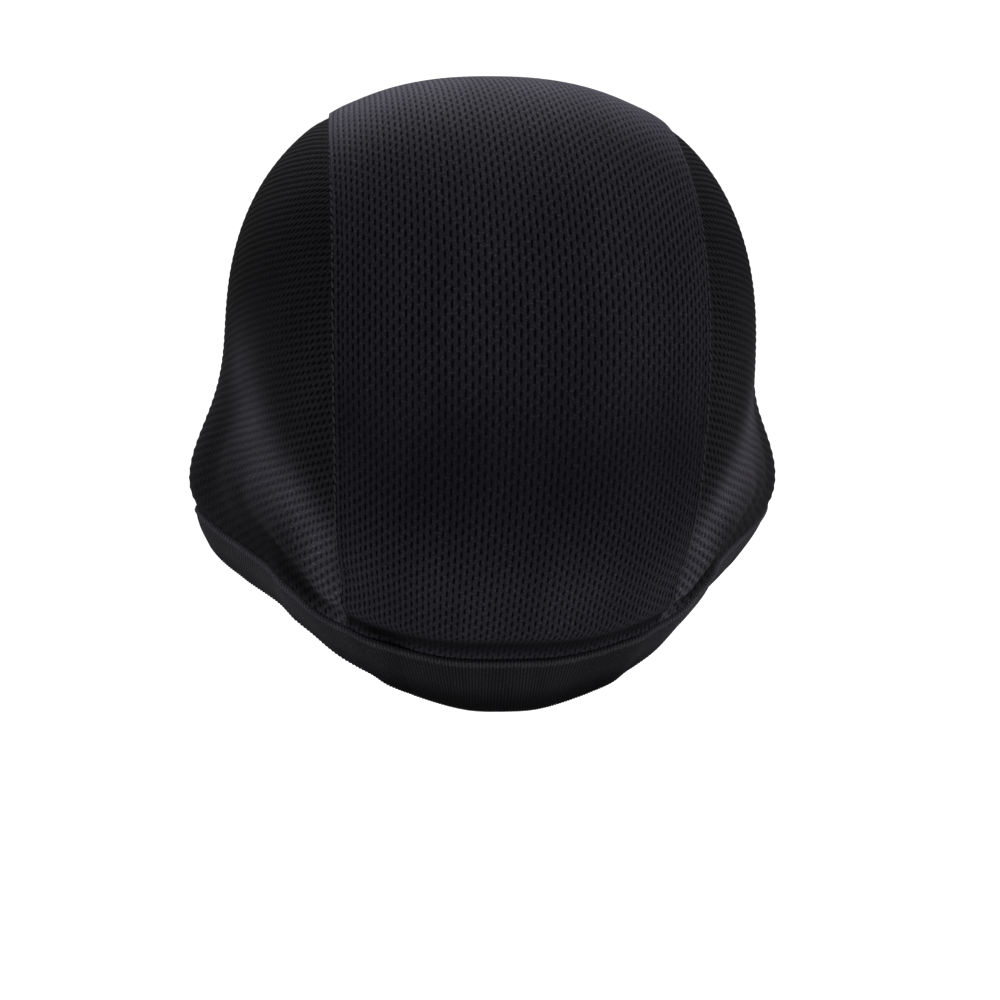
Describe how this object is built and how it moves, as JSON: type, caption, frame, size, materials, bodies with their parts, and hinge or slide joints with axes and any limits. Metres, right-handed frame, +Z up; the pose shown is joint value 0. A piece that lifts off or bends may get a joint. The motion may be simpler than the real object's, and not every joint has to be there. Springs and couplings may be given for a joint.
{
  "type": "helmet liner cap",
  "caption": "Close skullcap of stretch mesh knit, worn under a helmet: a centre panel over the head, two side panels over the ears and a folded band.",
  "frame": {"origin": "where the top of the wearer's head meets the inside of the crown, in the plane of symmetry", "axes": "+Z up, +Y to the back of the head, -Y the way the wearer looks, +X to the wearer's left"},
  "size_m": [0.1752, 0.1938, 0.1851],
  "materials": {
    "centre_mesh": "black eyelet mesh knit, its wales running over the head",
    "side_mesh": "black eyelet mesh knit, its wales leaning back, square to the hem",
    "band_knit": "black close knit, folded double"
  },
  "bodies": {
    "root": {"centre_panel": "centre_mesh", "left_panel": "side_mesh", "right_panel": "side_mesh", "band": "band_knit"}
  },
  "joints": []
}
